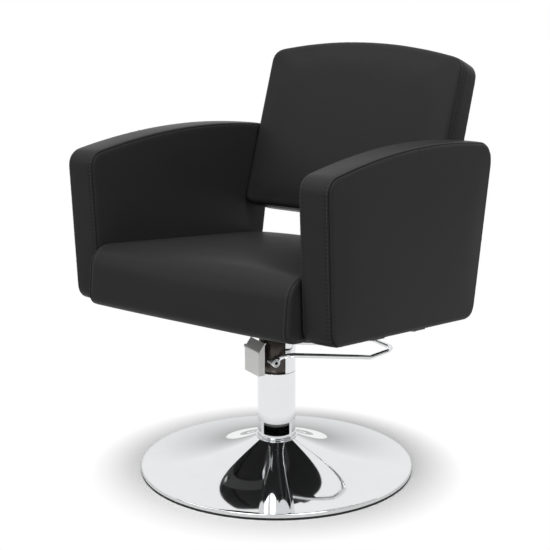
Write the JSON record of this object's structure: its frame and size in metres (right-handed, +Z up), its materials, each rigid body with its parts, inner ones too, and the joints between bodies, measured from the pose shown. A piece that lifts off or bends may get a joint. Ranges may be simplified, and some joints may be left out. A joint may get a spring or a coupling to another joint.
{
  "type": "hydraulic hairdressing chair",
  "caption": "Black upholstered salon chair with wide padded arms and back on a chromed pump column, with a foot lever loop and a round dished chrome base.",
  "frame": {"origin": "on the floor, under the column's axis, at the middle of the base plate's underside", "axes": "+Z up along the column, -Y the way the sitter faces, +X towards the sitter's left hand"},
  "size_m": [0.6686, 0.7251, 0.916],
  "materials": {
    "chrome": "polished chrome plate",
    "bright_steel": "bright zinc-plated steel",
    "dark_steel": "black paint, satin",
    "iron": "machined casting",
    "bronze": "turned",
    "rubber": "matt black",
    "nylon": "natural nylon",
    "alloy": "machined",
    "plywood": "raw plywood",
    "vinyl": "black vinyl-coated upholstery cloth over foam, satin"
  },
  "bodies": {
    "base": {"base_dish": "chrome", "base_edge_ring": "rubber", "base_plate": "dark_steel", "column_flange": "dark_steel", "flange_bolt_1": "bright_steel", "flange_bolt_2": "bright_steel", "flange_bolt_3": "bright_steel", "flange_bolt_4": "bright_steel", "lower_column": "chrome", "column_collar": "chrome", "guide_bush": "nylon", "piston_rod": "bright_steel", "piston_seal": "rubber"},
    "pump": {"pump_tube": "chrome", "pump_cylinder": "bright_steel", "rod_gland": "bronze", "pump_head": "iron", "head_sleeve": "chrome", "lever_hood": "chrome", "plunger_block": "alloy", "plunger_spring": "bright_steel", "thrust_washer": "bronze"},
    "plunger": {"plunger": "bright_steel"},
    "lever": {"lever_shaft": "bright_steel", "lever_hub_near": "chrome", "lever_hub_far": "chrome", "lever_crank": "iron", "lever_loop": "chrome"},
    "seat": {"seat_hub": "dark_steel", "seat_plate": "dark_steel", "strap_front": "dark_steel", "strap_rear": "dark_steel", "seat_bolt_1": "bright_steel", "seat_bolt_2": "bright_steel", "seat_bolt_3": "bright_steel", "seat_bolt_4": "bright_steel", "arm_bolt_1": "bright_steel", "arm_bolt_2": "bright_steel", "arm_bolt_3": "bright_steel", "arm_bolt_4": "bright_steel", "seat_board": "plywood", "arm_rail_left": "plywood", "arm_rail_right": "plywood", "seat_cushion": "vinyl", "arm_left": "vinyl", "arm_right": "vinyl", "backrest": "vinyl", "back_board": "plywood", "back_bar_left": "dark_steel", "back_bar_right": "dark_steel", "bar_lower_bolt_1": "bright_steel", "bar_lower_bolt_2": "bright_steel", "bar_upper_bolt_1": "bright_steel", "bar_upper_bolt_2": "bright_steel"}
  },
  "joints": [
    {"name": "lift", "type": "slide", "parent": "base", "child": "pump", "axis": [0, 0, 1], "range_m": [0, 0.145]},
    {"name": "swivel", "type": "hinge", "parent": "pump", "child": "seat", "pos_m": [0, 0, 0.32], "axis": [0, 0, 1], "continuous": true},
    {"name": "pump_lever", "type": "hinge", "parent": "pump", "child": "lever", "pos_m": [-0.01055, -0.02485, 0.2534], "axis": [-0.9205, 0.3907, 0], "range_deg": [0, 12], "stiffness_Nm_per_rad": 6, "springref_deg": -20.05},
    {"name": "plunger_slide", "type": "slide", "parent": "pump", "child": "plunger", "axis": [0, 0, 1], "range_m": [0, 0.005], "deforming": ["plunger_spring"]}
  ],
  "couplings": [
    {"joint": "plunger_slide", "follows": "pump_lever", "m_per_rad": 0.0205}
  ]
}
